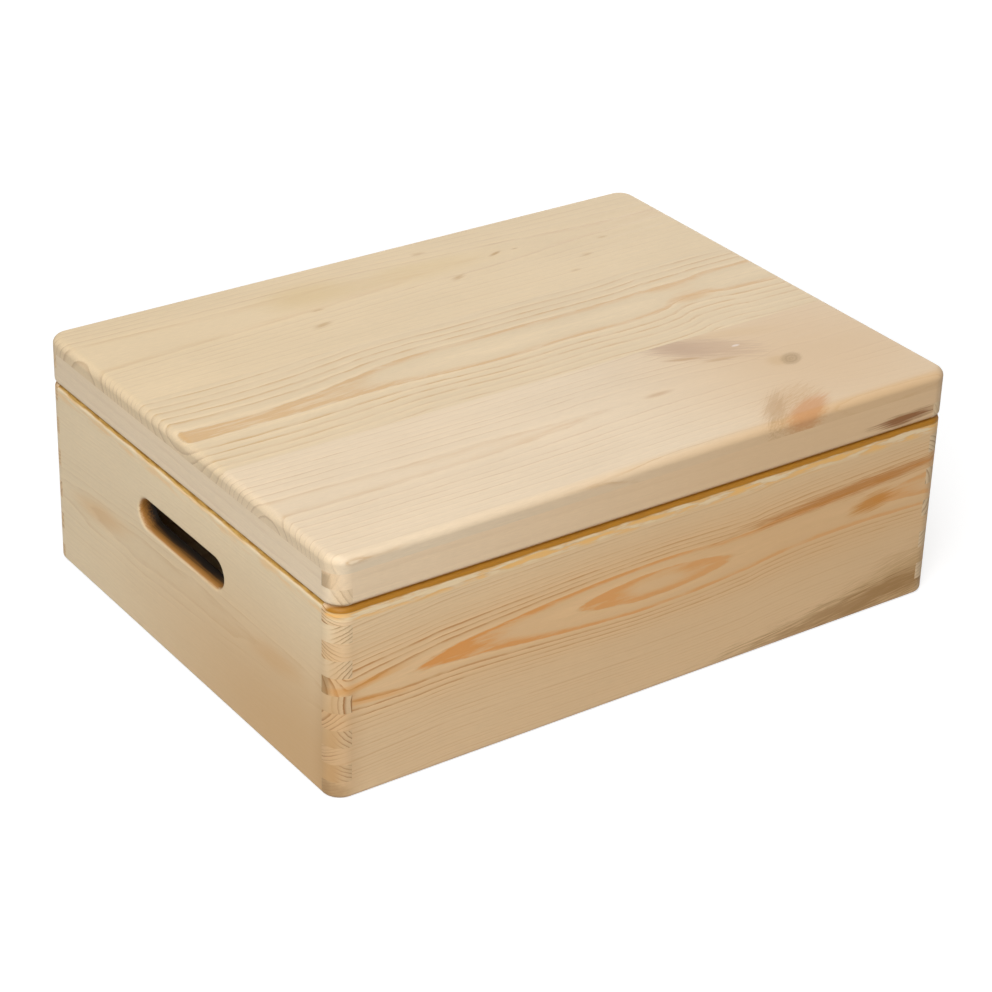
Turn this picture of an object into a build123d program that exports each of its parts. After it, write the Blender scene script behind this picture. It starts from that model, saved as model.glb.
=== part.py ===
from build123d import *
import math
import os

# A finger-jointed pine storage box with a hinged lid and a hand slot in each end.
# Millimetres, +Z up. The origin is the middle of the underside, the front faces -Y,
# and the hinges run along the back edge at +Y.

# Overall sizes
box_length = 400.0
box_width = 300.0
box_height = 112.0  # from the base to the line where the lid parts from the box
lid_rail_height = 19.0
lid_top_thickness = 9.0
board_thickness = 11.0

# Roundings
corner_radius = 10.5  # upright corners of box and lid
rim_rounding = 3.0  # outer edges that meet at the parting line
lid_top_rounding = 4.5
base_rounding = 2.5
inner_rim_ease = 0.8  # small bevel along the inner edges of both rims

# Finger joints, cut at one pitch from the base up into the lid
finger_count = 11  # up each corner of the box

# Bottom panel, let into a rebate from below
bottom_thickness = 4.0
rebate_depth = 5.0
rebate_corner_radius = 6.0
bottom_clearance = 0.15

# Lid top, three boards glued edge to edge, the front one taking what is left
back_stave_width = 102.5
middle_stave_width = 90.0

# Hand slots through the end boards
slot_length = 89.0
slot_height = 17.0
slot_rounding = 2.5  # outer edge
slot_inner_ease = 1.0  # small bevel along the inner edge
slot_middle_height = 77.0
slot_setback = 2.5  # behind the middle of the end board

# Butt hinges in the back edge
hinge_spacing = 220.0
hinge_length = 32.0
leaf_thickness = 1.0
leaf_gap = 0.1  # between the closed leaves
leaf_corner_radius = 1.5
leaf_inner_margin = 2.0  # wood left between a leaf and the inside of the board
leaf_recess_clearance = 0.15
knuckle_count = 3
knuckle_gap = 0.3
knuckle_clearance = 0.35  # to the rounded wood and to the other leaf
pin_radius = 1.0
pin_clearance = 0.05

# Countersunk screws, two in each leaf
screw_spacing = 20.0
screw_length = 10.0
screw_head_radius = 2.0
screw_shank_radius = 1.0
screw_clearance = 0.05
cross_length = 2.4
cross_width = 0.45
cross_depth = 0.5

cut_overrun = 2.0
bevel_angle = 45.0
countersink_angle = 90.0
from_foot = (Align.CENTER, Align.MIN)
from_top = (Align.CENTER, Align.CENTER, Align.MAX)

# Places worked out from the sizes above
lid_frame_top = box_height + lid_rail_height
total_height = lid_frame_top + lid_top_thickness
inner_length = box_length - 2 * board_thickness
inner_width = box_width - 2 * board_thickness
front_face = -box_width / 2
back_face = box_width / 2
back_glue_line = back_face - back_stave_width
front_glue_line = back_glue_line - middle_stave_width
front_stave_width = front_glue_line - front_face

leaf_reach = board_thickness - leaf_inner_margin
knuckle_radius = pin_radius + pin_clearance + leaf_thickness
knuckle_length = (hinge_length - knuckle_gap * (knuckle_count - 1)) / knuckle_count
wood_reach = rim_rounding + knuckle_radius + knuckle_clearance
pin_line = back_face + math.sqrt(wood_reach**2 - rim_rounding**2) - rim_rounding
screw_line = back_face - (rim_rounding + leaf_reach) / 2
hinge_places = {"left": -hinge_spacing / 2, "right": hinge_spacing / 2}
hinge_starts = [middle - hinge_length / 2 for middle in hinge_places.values()]
screw_places = [middle + side * screw_spacing / 2 for middle in hinge_places.values() for side in (-1, 1)]


# Heights of the joint fingers. The lid's upper finger takes what is left of its rail.
finger_pitch = box_height / finger_count
box_levels = [finger_pitch * step for step in range(finger_count + 1)]
box_fingers = list(zip(box_levels[:-1], box_levels[1:]))
lid_finger_step = box_height + finger_pitch
lid_fingers = [(box_height, lid_finger_step), (lid_finger_step, lid_frame_top)]


# The sanded outside of the box and of the lid, which every board is trimmed to
with BuildPart() as box_outside:
    with BuildSketch():
        RectangleRounded(box_length, box_width, corner_radius)
    extrude(amount=box_height)
    fillet(box_outside.faces().sort_by(Axis.Z)[-1].edges(), rim_rounding)
    fillet(box_outside.faces().sort_by(Axis.Z)[0].edges(), base_rounding)

with BuildPart() as lid_outside:
    with BuildSketch(Plane.XY.offset(box_height)):
        RectangleRounded(box_length, box_width, corner_radius)
    extrude(amount=lid_rail_height + lid_top_thickness)
    fillet(lid_outside.faces().sort_by(Axis.Z)[-1].edges(), lid_top_rounding)
    fillet(lid_outside.faces().sort_by(Axis.Z)[0].edges(), rim_rounding)

# The bevel round the inner edge of each rim
with BuildPart() as box_rim_bevel:
    with BuildSketch(Plane.XY.offset(box_height - inner_rim_ease)):
        Rectangle(inner_length, inner_width)
    extrude(amount=inner_rim_ease + cut_overrun, taper=-bevel_angle)

with BuildPart() as lid_rim_bevel:
    with BuildSketch(Plane((0, 0, box_height + inner_rim_ease), x_dir=(1, 0, 0), z_dir=(0, 0, -1))):
        Rectangle(inner_length, inner_width)
    extrude(amount=inner_rim_ease + cut_overrun, taper=-bevel_angle)

# The rebate that the bottom panel is let into
with BuildPart() as bottom_rebate:
    with BuildSketch(Plane.XY.offset(-cut_overrun)):
        rebate_length = inner_length + 2 * rebate_depth
        rebate_width = inner_width + 2 * rebate_depth
        RectangleRounded(rebate_length, rebate_width, rebate_corner_radius)
    extrude(amount=cut_overrun + bottom_thickness)


def jointed_elevation(length, fingers, first_notch):
    """Draws a board's face with its ends notched at every second finger, from first_notch on."""
    foot = fingers[0][0]
    head = fingers[-1][1]
    with Locations((0, foot)):
        Rectangle(length, head - foot, align=from_foot)
    for low, high in fingers[first_notch::2]:
        with Locations(*[(end * (length - board_thickness) / 2, low) for end in (-1, 1)]):
            Rectangle(board_thickness, high - low, align=from_foot, mode=Mode.SUBTRACT)


def long_board(near_face, fingers, first_notch, outside, rim_bevel):
    """A board or rail that runs along X, with its nearer face at Y = near_face."""
    with BuildPart() as board:
        with BuildSketch(Plane.XZ.offset(-near_face)):
            jointed_elevation(box_length, fingers, first_notch)
        extrude(amount=-board_thickness)
        add(outside.part, mode=Mode.INTERSECT)
        add(rim_bevel.part, mode=Mode.SUBTRACT)
    return board


def short_board(left_face, fingers, first_notch, outside, rim_bevel, has_slot):
    """A board or rail that runs along Y, with its left face at X = left_face."""
    with BuildPart() as board:
        with BuildSketch(Plane.YZ.offset(left_face)):
            jointed_elevation(box_width, fingers, first_notch)
            if has_slot:
                with Locations((slot_setback, slot_middle_height)):
                    SlotOverall(slot_length, slot_height, mode=Mode.SUBTRACT)
        extrude(amount=board_thickness)
        if has_slot:
            inner, outer = board.faces().filter_by(Axis.X).sort_by(lambda face: abs(face.center().X))
            fillet(outer.inner_wires()[0].edges(), slot_rounding)
            chamfer(inner.inner_wires()[0].edges(), slot_inner_ease)
        add(outside.part, mode=Mode.INTERSECT)
        add(rim_bevel.part, mode=Mode.SUBTRACT)
    return board


def cut_rebate(board):
    """Cuts the bottom panel's rebate out of a finished board."""
    with BuildPart() as rebated:
        add(board.part)
        add(bottom_rebate.part, mode=Mode.SUBTRACT)
    return rebated


def cut_hinge_seats(board, side):
    """Cuts both leaf recesses and the screws' pilot holes. side is -1 in the box and 1 in the lid."""
    seat_depth = leaf_gap / 2 + leaf_thickness
    seat_floor = box_height + side * seat_depth
    with BuildPart() as seated:
        add(board.part)
        with BuildSketch(Plane.XY.offset(seat_floor)):
            with Locations(*[(middle, back_face - leaf_reach) for middle in hinge_places.values()]):
                seat_length = hinge_length + 2 * leaf_recess_clearance
                Rectangle(seat_length, leaf_reach + cut_overrun, align=from_foot)
        extrude(amount=-side * (seat_depth + cut_overrun), mode=Mode.SUBTRACT)
        with Locations(*[Plane((x, screw_line, seat_floor), z_dir=(0, 0, -side)) for x in screw_places]):
            Hole(screw_shank_radius + screw_clearance, depth=screw_length)
    return seated


def knuckle_spans(start, first):
    """The X spans of every second knuckle of a hinge, from the knuckle numbered first."""
    step = knuckle_length + knuckle_gap
    lows = [start + step * number for number in range(first, knuckle_count, 2)]
    return [(low, low + knuckle_length) for low in lows]


def hinge_leaf(start, side):
    """A leaf with its rolled knuckles. side is -1 in the box and 1 in the lid."""
    own_first = 0 if side < 0 else 1
    leaf_face = box_height + side * leaf_gap / 2
    middle = start + hinge_length / 2
    with BuildPart() as leaf:
        with BuildSketch(Plane.XY.offset(leaf_face)) as plate:
            with Locations((middle, back_face - leaf_reach)):
                plate_width = pin_line - back_face + leaf_reach
                Rectangle(hinge_length, plate_width, align=from_foot)
            fillet(plate.vertices().group_by(Axis.Y)[0], leaf_corner_radius)
        extrude(amount=side * leaf_thickness)
        for low, high in knuckle_spans(start, 1 - own_first):
            with BuildSketch(Plane.YZ.offset(low - knuckle_gap)):
                with Locations((pin_line, box_height)):
                    Circle(knuckle_radius + knuckle_clearance)
            extrude(amount=high - low + 2 * knuckle_gap, mode=Mode.SUBTRACT)
        for low, high in knuckle_spans(start, own_first):
            with BuildSketch(Plane.YZ.offset(low)):
                with Locations((pin_line, box_height)):
                    Circle(knuckle_radius)
            extrude(amount=high - low)
        with BuildSketch(Plane.YZ.offset(start - cut_overrun)):
            with Locations((pin_line, box_height)):
                Circle(pin_radius + pin_clearance)
        extrude(amount=hinge_length + 2 * cut_overrun, mode=Mode.SUBTRACT)
        screw_ends = [middle + end * screw_spacing / 2 for end in (-1, 1)]
        with Locations(*[Plane((x, screw_line, leaf_face), z_dir=(0, 0, -side)) for x in screw_ends]):
            CounterSinkHole(
                screw_shank_radius + screw_clearance,
                screw_head_radius + screw_clearance,
                counter_sink_angle=countersink_angle,
            )
    return leaf


def hinge_pin(start):
    """A wire pin through all the knuckles, flush with both ends of the hinge."""
    with BuildPart() as pin:
        with BuildSketch(Plane.YZ.offset(start)):
            with Locations((pin_line, box_height)):
                Circle(pin_radius)
        extrude(amount=hinge_length)
    return pin


def leaf_screws(side):
    """The four screws of the two leaves on one side, each with a cross recess."""
    leaf_face = box_height + side * leaf_gap / 2
    head_depth = screw_head_radius - screw_shank_radius
    with BuildPart() as screws:
        with Locations(*[Plane((x, screw_line, leaf_face), z_dir=(0, 0, -side)) for x in screw_places]):
            Cone(screw_shank_radius, screw_head_radius, head_depth, align=from_top)
            Cylinder(screw_shank_radius, screw_length, align=from_top)
            Box(cross_length, cross_width, cross_depth, align=from_top, mode=Mode.SUBTRACT)
            Box(cross_width, cross_length, cross_depth, align=from_top, mode=Mode.SUBTRACT)
    return screws


def lid_stave(near_edge, width):
    """One board of the lid's top, with its front edge at Y = near_edge."""
    with BuildPart() as stave:
        with BuildSketch(Plane.XY.offset(lid_frame_top)):
            with Locations((0, near_edge)):
                Rectangle(box_length, width, align=from_foot)
        extrude(amount=lid_top_thickness)
        add(lid_outside.part, mode=Mode.INTERSECT)
    return stave


# The box: front and back hold the odd fingers, the sides the even ones
inner_back = back_face - board_thickness
left_face = -box_length / 2
inner_right = box_length / 2 - board_thickness
front_board = cut_rebate(long_board(front_face, box_fingers, 1, box_outside, box_rim_bevel))
plain_back = cut_rebate(long_board(inner_back, box_fingers, 1, box_outside, box_rim_bevel))
back_board = cut_hinge_seats(plain_back, -1)
left_side = cut_rebate(short_board(left_face, box_fingers, 0, box_outside, box_rim_bevel, True))
right_side = cut_rebate(short_board(inner_right, box_fingers, 0, box_outside, box_rim_bevel, True))

with BuildPart() as bottom_panel:
    with BuildSketch():
        panel_length = rebate_length - 2 * bottom_clearance
        panel_width = rebate_width - 2 * bottom_clearance
        RectangleRounded(panel_length, panel_width, rebate_corner_radius - bottom_clearance)
    extrude(amount=bottom_thickness)

# The lid: its frame carries on the same joint, so here the sides hold the lower finger
lid_front_rail = long_board(front_face, lid_fingers, 0, lid_outside, lid_rim_bevel)
plain_lid_back = long_board(inner_back, lid_fingers, 0, lid_outside, lid_rim_bevel)
lid_back_rail = cut_hinge_seats(plain_lid_back, 1)
lid_left_rail = short_board(left_face, lid_fingers, 1, lid_outside, lid_rim_bevel, False)
lid_right_rail = short_board(inner_right, lid_fingers, 1, lid_outside, lid_rim_bevel, False)
lid_back_stave = lid_stave(back_glue_line, back_stave_width)
lid_middle_stave = lid_stave(front_glue_line, middle_stave_width)
lid_front_stave = lid_stave(front_face, front_stave_width)

pieces = {
    "front_board": front_board,
    "back_board": back_board,
    "left_side": left_side,
    "right_side": right_side,
    "bottom_panel": bottom_panel,
    "lid_front_rail": lid_front_rail,
    "lid_back_rail": lid_back_rail,
    "lid_left_rail": lid_left_rail,
    "lid_right_rail": lid_right_rail,
    "lid_back_stave": lid_back_stave,
    "lid_middle_stave": lid_middle_stave,
    "lid_front_stave": lid_front_stave,
    "box_leaf_screws": leaf_screws(-1),
    "lid_leaf_screws": leaf_screws(1),
}
for place, start in zip(hinge_places, hinge_starts):
    pieces[f"{place}_hinge_box_leaf"] = hinge_leaf(start, -1)
    pieces[f"{place}_hinge_lid_leaf"] = hinge_leaf(start, 1)
    pieces[f"{place}_hinge_pin"] = hinge_pin(start)

os.makedirs("parts", exist_ok=True)
for name, piece in pieces.items():
    piece.part.label = name
    export_step(piece.part, f"parts/{name}.step")
print(f"overall {box_length} x {box_width} x {total_height}, pin line at Y {pin_line:.4f}, Z {box_height}")
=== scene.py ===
import math
from dataclasses import dataclass, field

import bpy
from mathutils import Matrix, Vector


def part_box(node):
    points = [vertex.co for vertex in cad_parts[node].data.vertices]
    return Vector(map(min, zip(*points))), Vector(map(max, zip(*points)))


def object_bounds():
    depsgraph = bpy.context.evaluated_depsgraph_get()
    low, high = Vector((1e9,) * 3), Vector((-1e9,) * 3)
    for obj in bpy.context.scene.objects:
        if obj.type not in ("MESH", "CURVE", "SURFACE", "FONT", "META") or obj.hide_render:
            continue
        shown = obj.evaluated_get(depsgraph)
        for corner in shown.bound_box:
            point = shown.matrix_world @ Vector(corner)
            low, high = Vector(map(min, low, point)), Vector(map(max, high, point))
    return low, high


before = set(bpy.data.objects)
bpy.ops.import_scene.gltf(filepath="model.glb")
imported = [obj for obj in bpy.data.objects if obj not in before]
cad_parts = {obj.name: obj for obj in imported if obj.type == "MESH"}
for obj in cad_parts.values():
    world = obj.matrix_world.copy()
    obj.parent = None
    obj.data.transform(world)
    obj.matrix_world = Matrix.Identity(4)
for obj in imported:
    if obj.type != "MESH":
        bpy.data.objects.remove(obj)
cad_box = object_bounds()

# The wood is worked out in millimetres, the scene is in metres
MM_PER_METRE = 1000.0

# The ends of the box, in millimetres, read from the model's parts
END = cad_box[1].x * MM_PER_METRE
SIDE = -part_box("front_board")[0].y * MM_PER_METRE
TOP = cad_box[1].z * MM_PER_METRE
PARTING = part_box("front_board")[1].z * MM_PER_METRE

# Camera, from the photograph's viewing angle: lens in millimetres, places in metres
CAMERA_AZIMUTH = math.radians(-35.64)
CAMERA_ELEVATION = math.radians(28.69)
CAMERA_ROLL = math.radians(1.82)
CAMERA_LENS = 105.13
CAMERA_DISTANCE = 1.6638
CAMERA_RIGHT = 0.0030
CAMERA_UP = 0.0427

# Studio: places and sizes in metres, powers in watts
WORLD_STRENGTH = 0.12
KEY_PLACE = Vector((-1.0, -0.9, 2.25))
KEY_SIZE = 2.2
KEY_POWER = 50.0
FILL_PLACE = Vector((-1.8, -1.9, 1.2))
FILL_SIZE = 1.4
FILL_POWER = 32.0
BACK_PLACE = Vector((2.0, 2.2, 0.7))
BACK_SIZE = 1.8
BACK_POWER = 22.0
FLOOR_HALF = 6.0
FLOOR_SEEN = 0.5
FLOOR_GLOW = 0.66
FLOOR_BOUNCE = 0.3
SHADOW_REACH = (0.35, 0.9)


def tint(red, green, blue):
    """A colour given in everyday 0 to 255 steps, as the linear colour that nodes take."""
    shares = [step / 255 for step in (red, green, blue)]
    return tuple(s / 12.92 if s <= 0.04045 else ((s + 0.055) / 1.055) ** 2.4 for s in shares) + (1.0,)


class NodeBench:
    """Lays nodes into one tree and joins their sockets."""

    def __init__(self, tree):
        self.tree = tree

    def add(self, kind, **settings):
        node = self.tree.nodes.new(kind)
        for name, value in settings.items():
            setattr(node, name, value)
        return node

    def feed(self, socket, value):
        if isinstance(value, bpy.types.NodeSocket):
            self.tree.links.new(value, socket)
        else:
            socket.default_value = value

    def math(self, operation, *values):
        node = self.add("ShaderNodeMath", operation=operation)
        for socket, value in zip(node.inputs, values):
            self.feed(socket, value)
        return node.outputs[0]

    def total(self, *values):
        result = values[0]
        for value in values[1:]:
            result = self.math("ADD", result, value)
        return result

    def product(self, *values):
        result = values[0]
        for value in values[1:]:
            result = self.math("MULTIPLY", result, value)
        return result

    def length(self, *values):
        squares = [self.math("MULTIPLY", value, value) for value in values]
        return self.math("SQRT", self.total(*squares))

    def point(self, x, y, z):
        node = self.add("ShaderNodeCombineXYZ")
        for socket, value in zip(node.inputs, (x, y, z)):
            self.feed(socket, value)
        return node.outputs[0]

    def noise(self, point, detail=2.0, roughness=0.5):
        """Soft noise about 0, reaching roughly from -0.5 to 0.5."""
        node = self.add("ShaderNodeTexNoise")
        self.feed(node.inputs["Vector"], point)
        node.inputs["Scale"].default_value = 1.0
        node.inputs["Detail"].default_value = detail
        node.inputs["Roughness"].default_value = roughness
        return self.math("SUBTRACT", node.outputs[0], 0.5)

    def chance(self, value):
        """A random number from 0 to 1 that stays the same for the same value."""
        node = self.add("ShaderNodeTexWhiteNoise", noise_dimensions="1D")
        self.feed(node.inputs["W"], value)
        return node.outputs[0]

    def ease(self, value, low, high, to_low=0.0, to_high=1.0):
        node = self.add("ShaderNodeMapRange", interpolation_type="SMOOTHSTEP")
        for socket, number in zip(node.inputs, (value, low, high, to_low, to_high)):
            self.feed(socket, number)
        return node.outputs[0]

    def mix(self, share, first, second, blend="MIX"):
        node = self.add("ShaderNodeMix", data_type="RGBA", blend_type=blend)
        node.clamp_factor = True
        colours = [socket for socket in node.inputs if socket.type == "RGBA"]
        self.feed(node.inputs[0], share)
        self.feed(colours[0], first)
        self.feed(colours[1], second)
        return [socket for socket in node.outputs if socket.type == "RGBA"][0]

    def curve(self, value, points):
        """A smooth line through given points."""
        starts, heights = zip(*points)
        low, high = min(heights), max(heights)
        rise = max(high - low, 1e-6)
        span = starts[-1] - starts[0]
        node = self.add("ShaderNodeFloatCurve")
        line = node.mapping.curves[0]
        for place, height in points[1:-1]:
            line.points.new((place - starts[0]) / span, (height - low) / rise)
        line.points[0].location = (0.0, (heights[0] - low) / rise)
        line.points[-1].location = (1.0, (heights[-1] - low) / rise)
        node.mapping.update()
        share = self.math("DIVIDE", self.math("SUBTRACT", value, starts[0]), span)
        self.feed(node.inputs["Value"], share)
        return self.math("MULTIPLY_ADD", node.outputs[0], rise, low)

    def place(self, group, **values):
        """Places a node group and fills its named inputs. An underscore stands for a space."""
        node = self.add("ShaderNodeGroup")
        node.node_tree = group
        for name, value in values.items():
            self.feed(node.inputs[name.replace("_", " ").title()], value)
        return node.outputs


def new_group(name, inputs, outputs):
    """An empty node group. An input or output given as a colour is a colour socket."""
    tree = bpy.data.node_groups.new(name, "ShaderNodeTree")
    for side, sockets in (("INPUT", inputs), ("OUTPUT", outputs)):
        for label, start in sockets.items():
            kind = "NodeSocketColor" if isinstance(start, tuple) else "NodeSocketFloat"
            socket = tree.interface.new_socket(label, in_out=side, socket_type=kind)
            socket.default_value = start
    bench = NodeBench(tree)
    return bench, bench.add("NodeGroupInput").outputs, bench.add("NodeGroupOutput").inputs


BOARD_POINT = {"Along": 0.0, "Across": 0.0, "Depth": 0.0}
PLAIN = (0.8, 0.8, 0.8, 1.0)
END_LINE = tint(146, 92, 36)

# Year rings. Sizes are along and across the grain in millimetres, spans run from none to full
DRIFT_SIZE = (130.0, 26.0)
DRIFT_REACH = 2.0
WOBBLE_SIZE = (38.0, 9.0)
WOBBLE_REACH = 1.6
RAGGED_SIZE = (13.0, 2.2)
RAGGED_REACH = 0.26
YEAR_CHANGE = 0.7
UNEVEN_SPAN = (0.0, 8.0)
UNEVEN_MOST = 2.0
OUTSIDE_SPAN = (0.0, 1.5)
OUTSIDE_RISE = 0.4
OUTSIDE_STEEPNESS = 0.7
LATE_FULL = 0.95
LATE_END_SPAN = (0.93, 1.0)
EARLY_SPAN = (0.05, 0.5)
INSIDE_TONE = 0.8
SEED_STRIDE = 13.7
FADE_SPAN = (1.0, 14.0)
COME_AND_GO_SIZE = (36.0, 3.4)
COME_AND_GO_SPAN = (-0.16, 0.14)
COME_AND_GO_LEAST = 0.24


def growth_rings():
    """Year rings round the pith. Across and Depth are measured from the pith, in millimetres.

    Rings are wide and bold near the pith, and narrow and faint beyond the bold radius.
    """
    inputs = {
        **BOARD_POINT, "Ring Width": 4.0, "Outer Width": 2.0, "Bold Radius": 20.0, "Faint Share": 0.25,
        "Rise": 0.45, "Wander": 0.6, "Unevenness": 0.3, "Seed": 0.0,
    }
    outputs = {"Latewood": 0.0, "Earlywood": 0.0, "Ring Tone": 0.0, "Boldness": 0.0, "Outside": 0.0}
    bench, given, result = new_group("growth_rings", inputs, outputs)
    along, across, depth = given["Along"], given["Across"], given["Depth"]
    seed = given["Seed"]

    def stretched(length, breadth):
        parts = (bench.math("DIVIDE", along, length), bench.math("DIVIDE", across, breadth))
        return bench.point(*parts, bench.total(bench.math("DIVIDE", depth, breadth), seed))

    # Rings leave the true circle slowly, in waves and in ragged threads
    drift = bench.noise(stretched(*DRIFT_SIZE), detail=1.0)
    wobble = bench.noise(stretched(*WOBBLE_SIZE), detail=2.0)
    ragged = bench.noise(stretched(*RAGGED_SIZE), detail=3.0, roughness=0.65)
    radius = bench.total(
        bench.length(across, depth),
        bench.product(drift, given["Wander"], DRIFT_REACH),
        bench.product(wobble, given["Wander"], WOBBLE_REACH),
        bench.product(ragged, given["Outer Width"], RAGGED_REACH),
    )

    # Years are counted from the bold radius, and are negative inside it
    past = bench.math("SUBTRACT", radius, given["Bold Radius"])
    inner = bench.math("DIVIDE", bench.math("MINIMUM", past, 0.0), given["Ring Width"])
    outer = bench.math("DIVIDE", bench.math("MAXIMUM", past, 0.0), given["Outer Width"])
    rung = bench.total(inner, outer)
    years = bench.point(bench.product(rung, YEAR_CHANGE), seed, 0.0)
    swing = bench.ease(past, *UNEVEN_SPAN, 0.0, UNEVEN_MOST)
    rung = bench.total(rung, bench.product(bench.noise(years, detail=1.0), given["Unevenness"], swing))
    part = bench.math("FRACT", rung)

    outside = bench.ease(past, *OUTSIDE_SPAN)
    inside = bench.math("SUBTRACT", 1.0, outside)
    start = bench.math("MAXIMUM", given["Rise"], bench.product(outside, OUTSIDE_RISE))
    steepness = bench.math("MULTIPLY_ADD", outside, OUTSIDE_STEEPNESS, 1.0)
    rise = bench.math("POWER", bench.ease(part, start, LATE_FULL), steepness)
    fall = bench.ease(part, *LATE_END_SPAN, 1.0, 0.0)
    bench.feed(result["Latewood"], bench.product(rise, fall))
    bench.feed(result["Earlywood"], bench.ease(part, *EARLY_SPAN, 1.0, 0.0))

    year = bench.total(bench.math("FLOOR", rung), bench.product(seed, SEED_STRIDE))
    tone = bench.math("MAXIMUM", bench.chance(year), bench.product(inside, INSIDE_TONE))
    bench.feed(result["Ring Tone"], tone)
    fade = bench.ease(past, *FADE_SPAN, 1.0, given["Faint Share"])
    patches = bench.noise(stretched(*COME_AND_GO_SIZE), detail=4.0, roughness=0.65)
    come_and_go = bench.ease(patches, *COME_AND_GO_SPAN, COME_AND_GO_LEAST, 1.0)
    bench.feed(result["Boldness"], bench.product(fade, come_and_go))
    bench.feed(result["Outside"], outside)
    return bench.tree


# Planed pine. Sizes are along and across the grain in millimetres
FIBRE_SIZE = (34.0, 0.7)
BAND_SIZE = (170.0, 7.0)
CLOUD_SIZE = (95.0, 42.0)
CANAL_SIZE = (5.5, 0.42)
CANAL_SPAN = (0.19, 0.3)
PORE_SIZE = (0.5, 0.5)
RIPPLE_SIZE = (6.0, 0.9)
TONE_RANGE = (0.55, 1.3)
RIPPLE_IN_LINES = 1.1
BANDS_IN_COLOUR = 0.12
FIBRE_IN_COLOUR = 0.08
END_WOOD_SHARE = 0.6
CANAL_SHARE = 0.16
CLOUD_LIGHT = 0.14
FIBRE_LIGHT = 0.1
RIPPLE_LIGHT = 0.16
EARLY_LIGHT = 0.09
PORE_LIGHT = 0.2
PINE_ROUGHNESS = 0.62
LATE_GLOSS = -0.1
FIBRE_DULLNESS = 0.15
END_DULLNESS = 0.12
LATE_HEIGHT = 0.5
FIBRE_HEIGHT = 0.9
CANAL_HEIGHT = -0.5


def pine_figure():
    """Colour, roughness and grain height of planed pine, from its rings, fibres and end grain."""
    inputs = {
        **BOARD_POINT, "Latewood": 0.0, "Earlywood": 0.0, "Ring Tone": 0.5, "End Grain": 0.0,
        "Line Strength": 0.7, "End Lines": 0.5, "Cloud": 1.0, "Pale Wood": PLAIN, "Late Wood": PLAIN,
        "End Wood": PLAIN, "Seed": 0.0,
    }
    outputs = {"Color": PLAIN, "Roughness": PINE_ROUGHNESS, "Height": 0.0}
    bench, given, result = new_group("pine_figure", inputs, outputs)
    along, across, depth = given["Along"], given["Across"], given["Depth"]
    latewood, line_strength = given["Latewood"], given["Line Strength"]
    end, seed = given["End Grain"], given["Seed"]

    def streaks(size, detail):
        length, breadth = size
        parts = (bench.math("DIVIDE", along, length), bench.math("DIVIDE", across, breadth))
        deep = bench.total(bench.math("DIVIDE", depth, breadth), seed)
        return bench.noise(bench.point(*parts, deep), detail, roughness=0.6)

    fibre = streaks(FIBRE_SIZE, detail=3.0)
    bands = streaks(BAND_SIZE, detail=2.0)
    cloud = bench.product(streaks(CLOUD_SIZE, detail=2.0), given["Cloud"])
    canals = bench.ease(streaks(CANAL_SIZE, detail=1.0), *CANAL_SPAN)
    pores = streaks(PORE_SIZE, detail=1.0)
    ripple = streaks(RIPPLE_SIZE, detail=2.0)

    tone = bench.ease(given["Ring Tone"], 0.0, 1.0, *TONE_RANGE)
    lines = bench.product(latewood, tone, line_strength, bench.math("SUBTRACT", 1.0, end))
    lines = bench.product(lines, bench.math("MULTIPLY_ADD", ripple, RIPPLE_IN_LINES, 1.0))
    lines = bench.total(lines, bench.product(bands, BANDS_IN_COLOUR), bench.product(fibre, FIBRE_IN_COLOUR))
    colour = bench.mix(lines, given["Pale Wood"], given["Late Wood"])
    colour = bench.mix(bench.product(end, END_WOOD_SHARE), colour, given["End Wood"])
    colour = bench.mix(bench.product(end, latewood, tone, given["End Lines"]), colour, END_LINE)
    colour = bench.mix(bench.product(canals, CANAL_SHARE), colour, given["Late Wood"])

    light = bench.total(
        1.0,
        bench.product(cloud, CLOUD_LIGHT),
        bench.product(fibre, FIBRE_LIGHT),
        bench.product(ripple, RIPPLE_LIGHT),
        bench.product(given["Earlywood"], line_strength, EARLY_LIGHT),
        bench.product(pores, end, PORE_LIGHT),
    )
    shade = bench.add("ShaderNodeCombineColor")
    for socket in shade.inputs:
        bench.feed(socket, light)
    bench.feed(result["Color"], bench.mix(1.0, colour, shade.outputs[0], "MULTIPLY"))

    dullness = bench.total(
        PINE_ROUGHNESS,
        bench.product(latewood, LATE_GLOSS),
        bench.product(fibre, FIBRE_DULLNESS),
        bench.product(end, END_DULLNESS),
    )
    bench.feed(result["Roughness"], dullness)
    height = bench.total(
        bench.product(latewood, line_strength, LATE_HEIGHT),
        bench.product(fibre, FIBRE_HEIGHT),
        bench.product(canals, CANAL_HEIGHT),
        bench.product(pores, end),
    )
    bench.feed(result["Height"], height)
    return bench.tree


# Knots, stains, flecks and patches of painted shade. Their edges fray in threads that run along the grain
THREAD_PACE = 0.045
FRAY_REACH = 2.0
DRAW_FALL = -0.25
KNOT_RINGS = 2.6
HALF_RING = 0.5


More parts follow.
